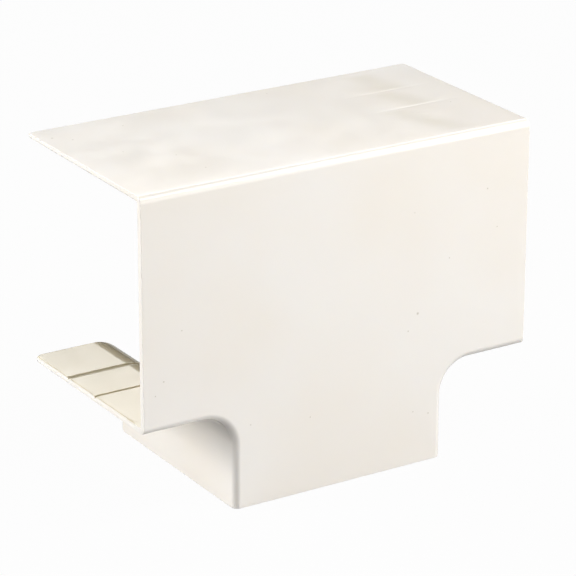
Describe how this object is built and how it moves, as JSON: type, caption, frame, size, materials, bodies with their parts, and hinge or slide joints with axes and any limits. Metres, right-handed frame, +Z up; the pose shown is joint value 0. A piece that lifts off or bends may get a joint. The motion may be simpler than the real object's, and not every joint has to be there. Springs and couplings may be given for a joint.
{
  "type": "trunking tee fitting",
  "caption": "Open-backed cover for a tee junction in square wiring trunking, with a T-shaped front, rounded edges and score lines inside its side walls.",
  "frame": {"origin": "where the centre lines of the straight run and the branch cross, on the plane of the wall that the trunking is fixed to", "axes": "+X along the straight run, +Y into the wall, so that the front face looks towards -Y, +Z up, with the branch pointing down"},
  "size_m": [0.12, 0.061, 0.0925],
  "materials": {
    "cream_plastic": "glossy cream-white moulded plastic"
  },
  "bodies": {
    "root": {"tee_cover": "cream_plastic"}
  },
  "joints": []
}
